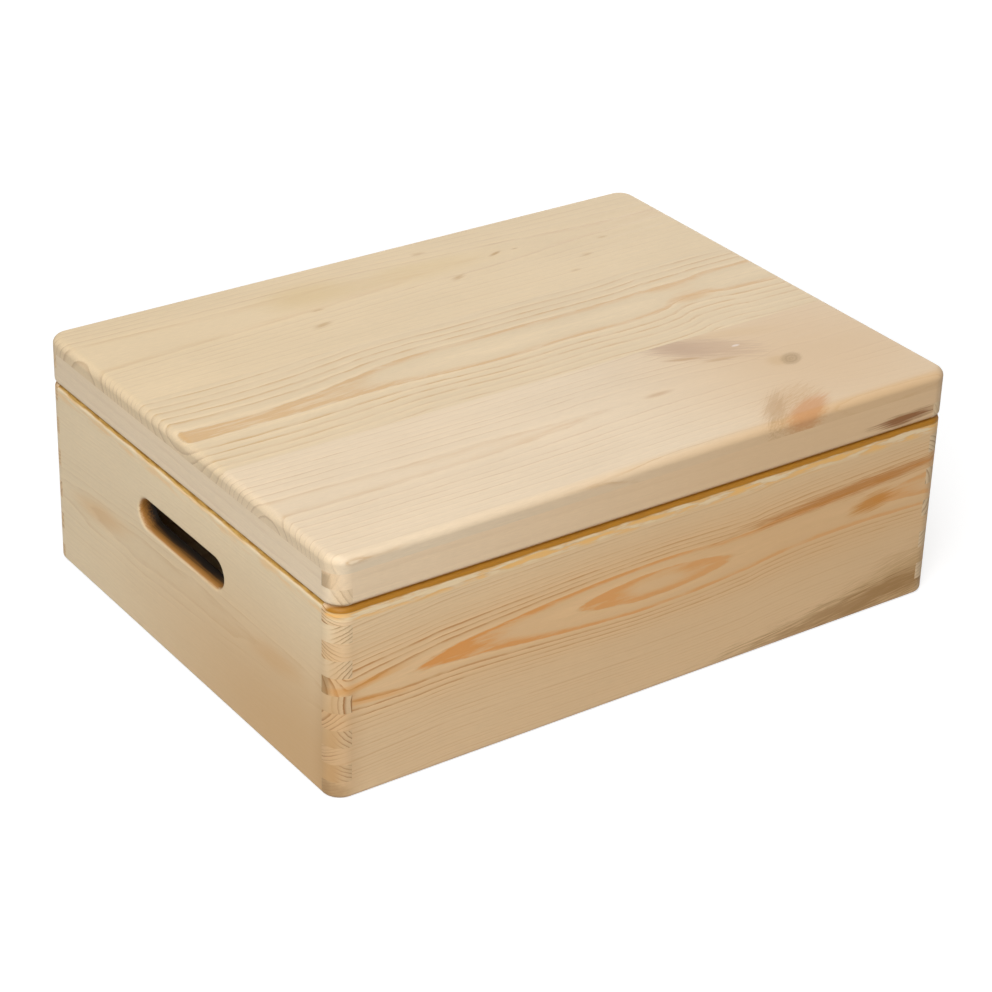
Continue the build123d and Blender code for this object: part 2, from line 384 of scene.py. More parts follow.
def grain_mark():
    """The mask of one mark, how far it draws the grain aside, and its own rings. Marks are knots, stains,
    flecks and patches of painted shade.
    """
    inputs = {
        **BOARD_POINT, "Middle Along": 0.0, "Middle Across": 0.0, "Middle Depth": 0.0, "Half Length": 5.0,
        "Half Width": 5.0, "Half Depth": 30.0, "Slope": 0.0, "Softness": 0.2, "Fray": 0.2, "Seed": 0.0,
    }
    bench, given, result = new_group("grain_mark", inputs, {"Mask": 0.0, "Reach": 0.0, "Rings": 0.0})
    aside = bench.math("SUBTRACT", given["Along"], given["Middle Along"])
    over = bench.math("SUBTRACT", given["Across"], given["Middle Across"])
    over = bench.math("SUBTRACT", over, bench.product(aside, given["Slope"]))
    under = bench.math("SUBTRACT", given["Depth"], given["Middle Depth"])
    away = bench.length(
        bench.math("DIVIDE", aside, given["Half Length"]),
        bench.math("DIVIDE", over, given["Half Width"]),
        bench.math("DIVIDE", under, given["Half Depth"]),
    )
    threads = bench.point(
        bench.product(given["Along"], THREAD_PACE), over, bench.total(given["Depth"], given["Seed"])
    )
    fraying = bench.noise(threads, detail=3.0, roughness=0.6)
    edge = bench.total(away, bench.product(fraying, given["Fray"], FRAY_REACH))
    inner = bench.math("SUBTRACT", 1.0, given["Softness"])
    outer = bench.math("ADD", 1.0, given["Softness"])
    bench.feed(result["Mask"], bench.ease(edge, inner, outer, 1.0, 0.0))
    bench.feed(result["Reach"], bench.math("EXPONENT", bench.product(away, away, DRAW_FALL)))
    bench.feed(result["Rings"], bench.math("PINGPONG", bench.product(edge, KNOT_RINGS), HALF_RING))
    return bench.tree


# Painted shade in the groove under the lid, and a painted cream highlight with orange patches on the rim
# below. Heights are in millimetres from the parting line, paces are per millimetre
OUTER_SPAN = (0.05, 0.4)
SPREAD_PACE = (0.05, 0.3)
SPREAD_REACH = 2.0
GROOVE_EDGE = (-0.6, 0.4)
GROOVE_TOP = (0.6, 2.4)
STREAK_PACE = (0.12, 1.4)
STREAK_CLIMB = 0.06
STREAK_SPAN = (-0.2, 0.12)
RIM_SPAN = (-7.0, -3.0)
PATCH_SPAN = (-0.06, 0.1)
PAINTED_HIGHLIGHT_SPAN = (-0.1, 0.02)


def groove_shade_and_rim_highlight():
    """Painted shade, dark gold, in the groove where box and lid meet, and on the rounded edge below warm
    orange patches and a painted cream highlight.
    """
    inputs = {"Along": 0.0, "Above Parting": 0.0, "Outward": 1.0, "Reach": 2.0, "Seed": 0.0}
    outputs = {"Groove": 0.0, "Dark": 0.0, "Patch": 0.0, "Painted Highlight": 0.0}
    bench, given, result = new_group("groove_shade_and_rim_highlight", inputs, outputs)
    along, above, seed = given["Along"], given["Above Parting"], given["Seed"]
    outer = bench.ease(given["Outward"], *OUTER_SPAN)

    pace_along, pace_up = SPREAD_PACE
    spread_point = bench.point(bench.product(along, pace_along), seed, bench.product(above, pace_up))
    spread = bench.noise(spread_point, detail=3.0)
    below = bench.total(above, given["Reach"], bench.product(spread, SPREAD_REACH))
    # Where the painted groove shade goes, from Reach millimetres below the parting line to a little above it
    groove = bench.product(bench.ease(below, *GROOVE_EDGE), bench.ease(above, *GROOVE_TOP, 1.0, 0.0))
    bench.feed(result["Groove"], bench.product(groove, outer))

    # Darker streaks within the painted groove shade
    pace_along, pace_up = STREAK_PACE
    streak_point = bench.point(bench.product(along, pace_along), bench.product(above, pace_up), seed)
    streak = bench.noise(streak_point, detail=3.0, roughness=0.6)
    darkness = bench.total(streak, bench.product(above, STREAK_CLIMB))
    bench.feed(result["Dark"], bench.ease(darkness, *STREAK_SPAN))

    # The rounded rim below the groove: orange patches, and between them a painted cream highlight
    rim = bench.product(bench.ease(below, *RIM_SPAN), bench.ease(below, *GROOVE_EDGE, 1.0, 0.0))
    bench.feed(result["Patch"], bench.product(rim, bench.ease(spread, *PATCH_SPAN), outer))
    bench.feed(result["Painted Highlight"], bench.product(rim, bench.ease(spread, *PAINTED_HIGHLIGHT_SPAN, 1.0, 0.0), outer))
    return bench.tree


# Hinge metal. Paces are per millimetre along and across the brushing
BRUSH_PACE = (0.35, 9.0)
SCRATCH_PACE = (0.9, 6.0)
SCRATCH_SLANT = 0.4
SCRATCH_SPAN = (0.2, 0.3)
TARNISH = 0.35
PATCH_TARNISH = 1.3
BRUSH_TARNISH = 0.4
METAL_ROUGHNESS = 0.32
PATCH_ROUGHNESS = 0.3
BRUSH_ROUGHNESS = 0.15
SCRATCH_ROUGHNESS = 0.12
BRUSH_HEIGHT = 0.6


def metal_wear():
    """Fine brushing, dull patches and scratches on plated hinge metal."""
    inputs = {**BOARD_POINT, "Bright": PLAIN, "Dull": PLAIN, "Seed": 0.0}
    outputs = {"Color": PLAIN, "Roughness": METAL_ROUGHNESS, "Height": 0.0}
    bench, given, result = new_group("metal_wear", inputs, outputs)
    along, across, depth = given["Along"], given["Across"], given["Depth"]
    seed = given["Seed"]

    pace_along, pace_across = BRUSH_PACE
    brushed_point = bench.point(
        bench.product(along, pace_along),
        bench.product(across, pace_across),
        bench.total(bench.product(depth, pace_across), seed),
    )
    brushed = bench.noise(brushed_point, detail=2.0)
    patches = bench.noise(bench.point(along, across, bench.total(depth, seed)), detail=3.0, roughness=0.6)
    pace_along, pace_across = SCRATCH_PACE
    slanted = bench.total(across, bench.product(along, SCRATCH_SLANT))
    scratch_point = bench.point(bench.product(along, pace_along), bench.product(slanted, pace_across), seed)
    scratches = bench.ease(bench.noise(scratch_point, detail=1.0), *SCRATCH_SPAN)

    tarnish = bench.total(
        TARNISH, bench.product(patches, PATCH_TARNISH), bench.product(brushed, BRUSH_TARNISH)
    )
    bench.feed(result["Color"], bench.mix(tarnish, given["Bright"], given["Dull"]))
    dullness = bench.total(
        METAL_ROUGHNESS,
        bench.product(patches, PATCH_ROUGHNESS),
        bench.product(brushed, BRUSH_ROUGHNESS),
        bench.product(scratches, SCRATCH_ROUGHNESS),
    )
    bench.feed(result["Roughness"], dullness)
    bench.feed(result["Height"], bench.math("SUBTRACT", bench.product(brushed, BRUSH_HEIGHT), scratches))
    return bench.tree


RINGS = growth_rings()
FIGURE = pine_figure()
MARK = grain_mark()
RIM = groove_shade_and_rim_highlight()
METAL = metal_wear()

# Pine as it comes, the painted gold shade where the lid meets the box, and the rim's orange patches and
# painted cream highlight
PALE_PINE = tint(231, 208, 173)
AMBER_PINE = tint(206, 160, 106)
LINE_PINE = tint(192, 151, 102)
END_PINE = tint(226, 194, 150)
GROOVE_PAINTED_SHADE = tint(168, 112, 6)
GROOVE_PAINTED_DEEP_SHADE = tint(152, 98, 12)
GROOVE_PAINTED_PALE_SHADE = tint(206, 164, 84)
RIM_ORANGE = tint(246, 190, 104)
RIM_PAINTED_HIGHLIGHT = tint(250, 228, 188)


@dataclass
class Mark:
    """A knot, stain or resin fleck, also a patch of painted shade. Places and half sizes are along, across
    and deep, in millimetres.

    The last value can keep it to the board's "face", its "end" grain or the "walls" of a cut.
    """

    middle: tuple
    half: tuple
    colour: tuple
    share: float
    softness: float = 0.25
    fray: float = 0.2
    slope: float = 0.0
    draws: float = 0.0
    ringed: float = 0.0
    only: str = "everywhere"


@dataclass
class Board:
    """How one board was cut from its log. Pith places are lists of (along, place) in millimetres."""

    node: str
    along: str
    across: str
    face: tuple
    pith_across: list
    pith_depth: list
    ring_width: float
    seed: float
    outer_width: float = 3.0
    bold_radius: float = 20.0
    faint: float = 0.25
    rise: float = 0.45
    lines: float = 0.6
    end_lines: float = 0.5
    wander: float = 0.6
    unevenness: float = 0.3
    cloud: float = 1.0
    pale: tuple = PALE_PINE
    late: tuple = AMBER_PINE
    line: tuple = LINE_PINE
    end: tuple = END_PINE
    # rim sets the rim's orange patches and painted cream highlight, groove the colour of the painted shade in
    # the groove
    rim: float = 0.5
    groove: tuple = GROOVE_PAINTED_SHADE
    groove_reach: float = 1.4
    marks: list = field(default_factory=list)


def new_material(name):
    material = bpy.data.materials.new(name)
    material.use_nodes = True
    bench = NodeBench(material.node_tree)
    shader = material.node_tree.nodes["Principled BSDF"]
    return material, bench, shader


def row_point(bench):
    """The surface point in the part's own frame, in millimetres, and its normal, by axis name."""
    coordinates = bench.add("ShaderNodeTexCoord")
    parts = bench.add("ShaderNodeSeparateXYZ")
    bench.feed(parts.inputs[0], coordinates.outputs["Object"])
    facing = bench.add("ShaderNodeSeparateXYZ")
    bench.feed(facing.inputs[0], coordinates.outputs["Normal"])
    places = {axis: bench.product(parts.outputs[axis], MM_PER_METRE) for axis in "XYZ"}
    return places, facing.outputs


# Spans of how squarely a surface faces one way, from none to full
END_GRAIN_SPAN = (0.35, 0.9)
END_ONLY_SPAN = (0.8, 0.98)
FACE_ONLY_SPAN = (0.3, 0.85)
WALL_ONLY_SPAN = (0.6, 0.98)

# Strength of the relief, and its depth in millimetres
PINE_RELIEF = (0.25, 0.12)
PLYWOOD_RELIEF = (0.2, 0.1)
METAL_RELIEF = (0.3, 0.03)

# Shares of the painted cream highlight on the rounded edge, and of the deeper painted shade in the groove
PAINTED_HIGHLIGHT_SHARE = 0.7
GROOVE_DEEP_SHADE_SHARE = 0.75


def raise_grain(bench, shader, height, relief):
    strength, depth = relief
    bump = bench.add("ShaderNodeBump")
    bump.inputs["Strength"].default_value = strength
    bump.inputs["Distance"].default_value = depth / MM_PER_METRE
    bench.feed(bump.inputs["Height"], height)
    bench.feed(shader.inputs["Normal"], bump.outputs[0])


def mark_share(bench, mark, spot, end_on, face_on):
    """How much of a mark's colour shows, on the surfaces that it keeps to."""
    share = bench.product(spot["Mask"], mark.share)
    if mark.ringed:
        share = bench.product(share, bench.ease(spot["Rings"], 0.0, HALF_RING, 1.0 - mark.ringed, 1.0))
    if mark.only == "end":
        share = bench.product(share, bench.ease(end_on, *END_ONLY_SPAN))
    if mark.only == "face":
        share = bench.product(share, bench.ease(face_on, *FACE_ONLY_SPAN))
    if mark.only == "walls":
        share = bench.product(share, bench.ease(face_on, *WALL_ONLY_SPAN, 1.0, 0.0))
    return share


def pine_board(board):
    """Planed pine that follows one board's own rings, knots and stains, with painted shade and painted
    highlight where its marks and rim put them.
    """
    material, bench, shader = new_material(f"pine_{board.node}")
    places, facing = row_point(bench)
    along, across = places[board.along], places[board.across]
    face_axis, face_place = board.face
    inward = -1.0 if face_place > 0 else 1.0
    depth = bench.product(bench.math("SUBTRACT", places[face_axis], face_place), inward)
    point = {"along": along, "across": across, "depth": depth}

    from_pith = bench.math("SUBTRACT", across, bench.curve(along, board.pith_across))
    to_pith = bench.math("SUBTRACT", depth, bench.curve(along, board.pith_depth))
    laid = []
    for number, mark in enumerate(board.marks):
        middles = {f"middle_{name}": place for name, place in zip(point, mark.middle)}
        halves = {f"half_{name}": size for name, size in zip(("length", "width", "depth"), mark.half)}
        spot = bench.place(
            MARK, **point, **middles, **halves, slope=mark.slope, softness=mark.softness, fray=mark.fray,
            seed=board.seed + number,
        )
        laid.append((mark, spot))
        if mark.draws:
            over = bench.math("SUBTRACT", across, mark.middle[1])
            from_pith = bench.math("SUBTRACT", from_pith, bench.product(over, spot["Reach"], mark.draws))

    rings = bench.place(
        RINGS, along=along, across=from_pith, depth=to_pith, ring_width=board.ring_width,
        outer_width=board.outer_width, bold_radius=board.bold_radius, faint_share=board.faint,
        rise=board.rise, wander=board.wander, unevenness=board.unevenness, seed=board.seed,
    )
    end_on = bench.math("ABSOLUTE", facing[board.along])
    face_on = bench.math("ABSOLUTE", facing[face_axis])
    figure = bench.place(
        FIGURE, **point, latewood=rings["Latewood"], earlywood=rings["Earlywood"],
        ring_tone=rings["Ring Tone"], end_grain=bench.ease(end_on, *END_GRAIN_SPAN),
        line_strength=bench.product(rings["Boldness"], board.lines), end_lines=board.end_lines,
        cloud=board.cloud, pale_wood=board.pale, end_wood=board.end, seed=board.seed,
        late_wood=bench.mix(rings["Outside"], board.late, board.line),
    )
    colour = figure["Color"]
    for mark, spot in laid:
        colour = bench.mix(mark_share(bench, mark, spot, end_on, face_on), colour, mark.colour)
    # Painted shade in the groove under the lid, and orange patches and a painted cream highlight on the
    # rounded rim below
    if board.rim:
        above = bench.math("SUBTRACT", places["Z"], PARTING)
        outward = bench.product(facing[face_axis], -inward)
        rim = bench.place(
            RIM, along=along, above_parting=above, outward=outward, reach=board.groove_reach, seed=board.seed
        )
        colour = bench.mix(bench.product(rim["Painted Highlight"], board.rim, PAINTED_HIGHLIGHT_SHARE), colour, RIM_PAINTED_HIGHLIGHT)
        colour = bench.mix(bench.product(rim["Patch"], board.rim), colour, RIM_ORANGE)
        gold = bench.mix(bench.product(rim["Dark"], GROOVE_DEEP_SHADE_SHARE), board.groove, GROOVE_PAINTED_DEEP_SHADE)
        colour = bench.mix(rim["Groove"], colour, gold)
    bench.feed(shader.inputs["Base Color"], colour)
    bench.feed(shader.inputs["Roughness"], figure["Roughness"])
    raise_grain(bench, shader, figure["Height"], PINE_RELIEF)
    return material


# Plywood. The face is sliced nearly along the rings, lengths are in millimetres
PLY_SEED = 61.0
PLY_SLICE = 0.25
PLY_PITH_DEPTH = 46.0
PLY_BOLD_RADIUS = 50.0
PLY_RING_WIDTH = 2.4
PLY_WANDER = 3.0
PLY_UNEVENNESS = 0.8
PLY_LINES = 0.35
PLIES_PER_MM = 0.75
PLY_SPAN = (0.3, 0.6)
PLY_EDGE_SPAN = (0.3, 0.7)
PLY_PALE = tint(224, 199, 158)
PLY_LATE = tint(200, 160, 112)
PLY_DARK = tint(158, 118, 76)


def plywood_sheet():
    """Thin plywood: a plain sliced face, and dark and light plies along the edges."""
    material, bench, shader = new_material("plywood_bottom")
    places, facing = row_point(bench)
    rings = bench.place(
        RINGS, along=places["X"], across=bench.product(places["Y"], PLY_SLICE), depth=PLY_PITH_DEPTH,
        bold_radius=PLY_BOLD_RADIUS, ring_width=PLY_RING_WIDTH, outer_width=PLY_RING_WIDTH,
        wander=PLY_WANDER, unevenness=PLY_UNEVENNESS, seed=PLY_SEED,
    )
    figure = bench.place(
        FIGURE, along=places["X"], across=places["Y"], depth=places["Z"], latewood=rings["Latewood"],
        ring_tone=rings["Ring Tone"], line_strength=PLY_LINES, pale_wood=PLY_PALE, late_wood=PLY_LATE,
        end_wood=END_PINE, seed=PLY_SEED,
    )
    plies = bench.math("PINGPONG", bench.product(places["Z"], PLIES_PER_MM), 1.0)
    edge = bench.ease(bench.math("ABSOLUTE", facing["Z"]), *PLY_EDGE_SPAN, 1.0, 0.0)
    banded = bench.product(edge, bench.ease(plies, *PLY_SPAN))
    bench.feed(shader.inputs["Base Color"], bench.mix(banded, figure["Color"], PLY_DARK))
    bench.feed(shader.inputs["Roughness"], figure["Roughness"])
    raise_grain(bench, shader, figure["Height"], PLYWOOD_RELIEF)
    return material


def hinge_metal(name, bright, dull, seed):
    """Plated or drawn metal of one hinge piece, from its bright and dull colours."""
    material, bench, shader = new_material(name)
    places, _ = row_point(bench)
    worn = bench.place(
        METAL, along=places["X"], across=places["Y"], depth=places["Z"], bright=bright, dull=dull, seed=seed
    )
    bench.feed(shader.inputs["Base Color"], worn["Color"])
    bench.feed(shader.inputs["Roughness"], worn["Roughness"])
    shader.inputs["Metallic"].default_value = 1.0
    raise_grain(bench, shader, worn["Height"], METAL_RELIEF)
    return material


def straight(place):
    """A pith that runs level from end to end."""
    return [(-END, place), (END, place)]


# Woods, marks and painted shade that only some boards have
WARM_PALE = tint(232, 201, 158)
WARM_AMBER = tint(224, 132, 0)
DEEP_AMBER = tint(226, 152, 56)
BROWN = tint(138, 94, 24)
DARK_END = tint(132, 98, 54)
# Painted shade for the foot of the jointed corner
CORNER_PAINTED_SHADE = tint(176, 130, 78)
RESIN = tint(168, 120, 40)
LILAC = tint(188, 154, 124)
PALE_END = tint(228, 204, 168)
# Painted shade on the walls of the hand slots: amber half shade near the face, near black painted shadow
# further in
SLOT_PAINTED_SHADOW = tint(24, 13, 4)
SLOT_PAINTED_HALF_SHADE = tint(162, 106, 28)

# Flecks of resin: breadth as a share of the length, depth in millimetres, share of colour
FLECK_BREADTH = 0.34
FLECK_DEPTH = 4
FLECK_STRENGTH = 0.85


def resin_fleck(along, across, half_length, share, slope=0.0):
    """A small dark fleck on the lid's top, about three times as long as it is broad."""
    half = (half_length, half_length * FLECK_BREADTH, FLECK_DEPTH)
    strength = FLECK_STRENGTH * share
    return Mark((along, across, 0), half, RESIN, strength, softness=0.8, fray=1.3, slope=slope)


def painted_slot_shade():
    """Painted shade on a hand slot's walls, amber near the face and a near black painted shadow inside."""
    amber = Mark(
        (2.5, 77, 8), (80, 26, 9.6), SLOT_PAINTED_HALF_SHADE, 0.95, softness=0.2, fray=0.2, only="walls"
    )
    black = Mark((2.5, 77, 11.5), (72, 25, 8.0), SLOT_PAINTED_SHADOW, 1.0, softness=0.3, fray=0.3, only="walls")
    return [amber, black]


boards = [
    Board(
        "front_board", "X", "Z", ("Y", -SIDE),
        pith_across=[
            (-200, 60), (-152, 63.5), (-125, 65.5), (-60, 66), (0, 66), (57, 66.5), (75, 68.5), (100, 70.5),
            (140, 72), (200, 73),
        ],
        pith_depth=[
            (-200, 22.1), (-152, 20.0), (-125, 19.3), (-95, 18.2), (-53, 16.0), (-25, 14.8), (0, 14.1),
            (25, 14.7), (57, 16.0), (100, 16.4), (140, 16.0), (165, 15.2), (200, 13.6),
        ],
        ring_width=4.0, outer_width=1.9, bold_radius=20.0, seed=3.0, lines=1.6, faint=0.25, end_lines=0.9,
        rise=0.5, wander=0.4, unevenness=0.6, pale=WARM_PALE, late=WARM_AMBER, line=tint(186, 124, 64),
        # A strong painted cream highlight on the rim, and painted groove shade that reaches further down
        rim=0.8, groove_reach=2.8,
        marks=[
            # Warmer and darker towards the right end, partly warmer wood and partly painted shade where the
            # front turns from the light, and warmer wood along the heart
            Mark((190, 45, 4), (210, 90, 60), tint(222, 182, 132), 0.6, softness=0.9, fray=0.1),
            Mark((0, 68, 4), (260, 24, 60), tint(224, 173, 112), 0.42, softness=0.8, fray=0.15, slope=0.02),
            # Amber that forks at the left end
            Mark((-186, 65, 0), (24, 2.2, 10), DEEP_AMBER, 0.5, softness=0.6, fray=0.5, slope=0.12),
            Mark((-184, 56, 0), (28, 2.0, 10), DEEP_AMBER, 0.45, softness=0.6, fray=0.5, slope=-0.08),
            # Resin spot and amber band at the right
            Mark((151, 71.5, 0), (14, 4.8, 10), tint(200, 126, 20), 0.78, softness=0.6, fray=1.2, slope=0.12),
            Mark((138, 84, 0), (66, 3.4, 10), tint(184, 112, 12), 0.78, softness=0.7, fray=1.4, slope=0.05),
            # Brown wedge at the lower right
            Mark((186, 14, 4), (50, 15, 14), tint(156, 112, 44), 0.5, softness=0.8, fray=1.2, slope=0.2),
            Mark((152, 9, 4), (88, 7.0, 12), BROWN, 0.66, softness=0.6, fray=1.6, slope=0.08),
            # Painted shade on the jointed corner, darkest towards its foot, and darker wood on two finger
            # ends
            Mark((-END, 20, 3), (12, 60, 12), CORNER_PAINTED_SHADE, 0.5, softness=0.9, fray=0.2),
            Mark((-END, 4, 3), (9, 6, 9), DARK_END, 0.6, softness=0.5, fray=0.3),
            Mark((-END, 5, 6), (14, 8, 14), DARK_END, 0.4, only="end"),
            Mark((-END, 66, 6), (14, 8, 14), DARK_END, 0.55, only="end"),
            # Plainer, darker tone at the lower left: painted shade towards the foot
            Mark((-110, 14, 4), (170, 36, 60), tint(216, 178, 132), 0.3, softness=0.9, fray=0.1),
        ],
    ),
    Board(
        "back_board", "X", "Z", ("Y", SIDE),
        pith_across=[(-200, 40), (-60, 47), (80, 43), (200, 38)],
        pith_depth=[(-200, 17), (-90, 21), (40, 16.5), (200, 22)],
        ring_width=3.6, outer_width=2.2, seed=11.0, lines=0.7, end_lines=0.35, pale=WARM_PALE,
        late=WARM_AMBER,
    ),
    Board(
        "left_side", "Y", "Z", ("X", -END),
        pith_across=[(-150, 56), (-60, 54), (50, 50), (150, 46)],
        pith_depth=[(-150, 30), (-92, 28.6), (0, 27.4), (92, 28.6), (150, 30.5)],
        ring_width=4.0, outer_width=2.2, bold_radius=24.0, seed=17.0, lines=0.75, end_lines=0.85, wander=1.2,
        # A faint painted cream highlight on the rim, and a paler painted shade in the groove
        pale=tint(237, 215, 178), line=tint(214, 180, 132), rim=0.35, groove=GROOVE_PAINTED_PALE_SHADE,
        marks=[
            # Darker, warmer at the lower front, partly warmer wood and partly painted shade towards the foot;
            # painted shade on the jointed corner; amber beside the slot
            Mark(
                (-130, 10, 4), (150, 60, 60), tint(206, 166, 114), 0.9, softness=0.9, fray=0.1, only="face",
            ),
            Mark((-SIDE, 20, 3), (12, 60, 12), CORNER_PAINTED_SHADE, 0.5, softness=0.9, fray=0.2),
            Mark((92, 52, 0), (26, 6, 10), tint(222, 180, 126), 0.6, softness=0.8, fray=0.5, slope=-0.1),
            Mark((-95, 56, 0), (22, 6, 10), tint(212, 170, 118), 0.6, softness=0.7, fray=0.5, slope=-0.1),
            # Painted shade on the walls of the hand slot
            *painted_slot_shade(),
        ],
    ),
    Board(
        "right_side", "Y", "Z", ("X", END),
        pith_across=[(-150, 70), (0, 64), (150, 66)],
        pith_depth=[(-150, 24), (-20, 27), (70, 25), (150, 29)],
        ring_width=3.8, outer_width=2.5, bold_radius=25.0, seed=23.0, lines=0.45, end_lines=0.5, wander=0.9,
        # Painted shade on the walls of the hand slot
        marks=painted_slot_shade(),
    ),
    Board(
        "lid_front_rail", "X", "Z", ("Y", -SIDE),
        pith_across=straight(150), pith_depth=straight(70),
        ring_width=3.0, seed=29.0, lines=0.6, end_lines=0.25, pale=tint(237, 211, 176),
        # A paler painted shade in the groove under the rail
        groove=tint(216, 152, 52),
        marks=[
            # Warmer and darker to the right, partly warmer wood and partly painted shade where the front
            # turns from the light, a brown streak and a dark finger end
            Mark((150, 124, 4), (210, 60, 60), tint(216, 174, 122), 0.6, softness=0.9, fray=0.1),
            Mark((168, 118.5, 2), (21, 2.8, 6), tint(132, 78, 18), 0.95, softness=0.5, fray=1.0, slope=0.03),
            Mark((-END, 124, 6), (14, 6, 14), tint(172, 146, 114), 0.7, only="end"),
        ],
    ),
    Board(
        "lid_back_rail", "X", "Z", ("Y", SIDE),
        pith_across=straight(90), pith_depth=straight(55),
        ring_width=3.1, seed=31.0, lines=0.8, end_lines=0.25,
    ),
    Board(
        "lid_left_rail", "Y", "Z", ("X", -END),
        pith_across=straight(160), pith_depth=straight(85),
        # A paler painted shade in the groove under the rail
        ring_width=3.4, seed=37.0, lines=0.6, end_lines=0.3, pale=tint(236, 214, 182), groove=GROOVE_PAINTED_PALE_SHADE,
    ),
    Board(
        "lid_right_rail", "Y", "Z", ("X", END),
        pith_across=straight(80), pith_depth=straight(60),
        ring_width=3.2, seed=41.0, lines=0.8, end_lines=0.3,
    ),
    Board(
        "lid_back_stave", "X", "Y", ("Z", TOP),
        pith_across=[(-200, 106.5), (-125, 107.5), (-57, 109.2), (0, 110.3), (60, 109), (200, 109.5)],
        pith_depth=[
            (-200, 18), (-125, 21.2), (-57, 22.4), (-15, 23.5), (25, 25.5), (60, 26), (130, 28.4), (200, 29),
        ],
        ring_width=9.0, outer_width=3.8, bold_radius=26.0, seed=43.0, lines=0.4, rise=0.6, faint=0.6,
        end_lines=0.25, wander=0.6, unevenness=0.15, pale=tint(228, 204, 166), late=tint(204, 166, 112),
        end=PALE_END, rim=0.0,
        marks=[
            # Golden patches, then flecks of resin
            Mark((-52, 116, 0), (24, 13, 10), tint(214, 184, 126), 0.45, softness=0.8, fray=0.6),
            Mark((20, 112, 0), (40, 10, 10), tint(216, 188, 134), 0.4, softness=0.8, fray=0.6),
            resin_fleck(74, 109, 4.0, 0.75, slope=0.3),
            resin_fleck(88, 109, 2.0, 0.55),
            resin_fleck(36, 92, 4.5, 0.6, slope=0.25),
            resin_fleck(-65, 78, 5.0, 0.55, slope=0.2),
            resin_fleck(-57, 96, 3.0, 0.45),
            resin_fleck(120, 80, 4.0, 0.5, slope=0.1),
            resin_fleck(101, 65, 3.0, 0.35),
            resin_fleck(143, 96, 3.0, 0.4),
            resin_fleck(34, 132, 4.0, 0.4),
        ],
    ),
    Board(
        "lid_middle_stave", "X", "Y", ("Z", TOP),
        pith_across=[
            (-200, 1.5), (-162, -1.2), (-125, 0), (-87, 3.4), (-50, 6), (0, 5), (50, 6), (80, 5.4),
            (112, 7.5), (137, 10.9), (162, 10.2), (200, 9.4),
        ],
        pith_depth=[
            (-200, -16.3), (-162, -16.9), (-125, -16.4), (-87, -14.7), (-50, -11.3), (0, -9.0), (50, -10.3),
            (80, -9.6), (112, -10.7), (137, -14), (162, -10.3), (200, -9.0),
        ],
        ring_width=9.4, outer_width=5.8, bold_radius=18.0, seed=47.0, lines=1.15, faint=0.7, rise=0.5,
        end_lines=0.25, wander=0.4, unevenness=0.3, pale=tint(224, 201, 165), late=tint(210, 172, 122),
        end=PALE_END, rim=0.0, line=tint(204, 166, 114),
        marks=[
            # Amber at the left end of the tongue and in its bend at the right
            Mark((-165, 0, 0), (45, 5.5, 8), tint(214, 172, 118), 0.15, softness=0.6, fray=0.4),
            Mark((136, 0, 0), (12, 4, 8), tint(206, 160, 100), 0.5, softness=0.7, fray=0.4),
        ],
    ),
    Board(
        "lid_front_stave", "X", "Y", ("Z", TOP),
        pith_across=[(-200, -90), (-100, -92), (-25, -91), (40, -89), (120, -90), (200, -92)],
        pith_depth=[(-200, 19.0), (-100, 19.4), (-25, 20.3), (25, 20.8), (40, 21), (120, 22), (200, 22.5)],
        ring_width=6.0, outer_width=4.0, bold_radius=21.0, seed=53.0, lines=0.5, faint=0.9, rise=0.7,
        end_lines=0.25, wander=0.6, unevenness=0.35, pale=tint(229, 207, 176), late=tint(206, 170, 124),
        end=PALE_END, rim=0.0,
        marks=[
            # Warmer wood to the right, and along the front edge the rail's warmer, darker tone, partly
            # painted shade
            Mark((150, -95, 4), (80, 75, 60), tint(214, 180, 138), 0.7, softness=0.9, fray=0.1),
            Mark((150, -153, 4), (210, 7, 60), tint(216, 174, 122), 0.6, softness=0.7, fray=0.1),
            # Lilac patch with darker threads and one pale speck
            Mark((98, -56, 0), (25, 14, 20), LILAC, 0.6, softness=0.5, fray=1.4, slope=-0.45, draws=0.3),
            Mark((86, -50, 0), (14, 9, 10), tint(184, 152, 124), 0.5, softness=0.7, fray=1.4, slope=-0.5),
            Mark((80, -62, 0), (9, 1.8, 6), tint(180, 138, 90), 0.6, softness=0.6, fray=0.9, slope=-0.35),
            Mark((99, -73, 0), (9, 1.6, 6), tint(184, 144, 96), 0.5, softness=0.6, fray=0.9, slope=-0.2),
            Mark((117, -63.5, 0), (2.4, 1.0, 4), tint(240, 226, 216), 0.7, softness=0.5, fray=0.5),
            Mark((125, -50, 0), (22, 5, 10), tint(216, 184, 140), 0.5, softness=0.7, fray=0.9, slope=-0.3),
            # Small streak, and the dark knot with its halo
            Mark((43, -89, 0), (8, 1.8, 6), tint(190, 150, 104), 0.55, softness=0.7, fray=0.5),
            Mark((126, -91, 0), (7, 5.5, 10), tint(206, 172, 126), 0.6, softness=0.6, fray=0.3),
            Mark(
                (133, -92.5, 0), (6.8, 5.4, 25), tint(166, 136, 96), 0.78, softness=0.4, fray=0.25, slope=0.3,
                draws=1.2, ringed=0.25,
            ),
            # Knot on the front edge: its ringed halo, brown threads and pink heart
            Mark(
                (97, -138, 1), (20, 16, 12), tint(196, 154, 104), 0.65, softness=0.5, fray=1.0, slope=0.4,
                ringed=0.6,
            ),
            Mark((86, -136, 1), (12, 7, 9), tint(172, 130, 78), 0.42, softness=0.6, fray=1.4, slope=0.9),
            Mark(
                (101, -145, 2), (17, 7.4, 9), tint(204, 146, 94), 0.82, softness=0.45, fray=0.6, slope=0.4,
                draws=0.9,
            ),
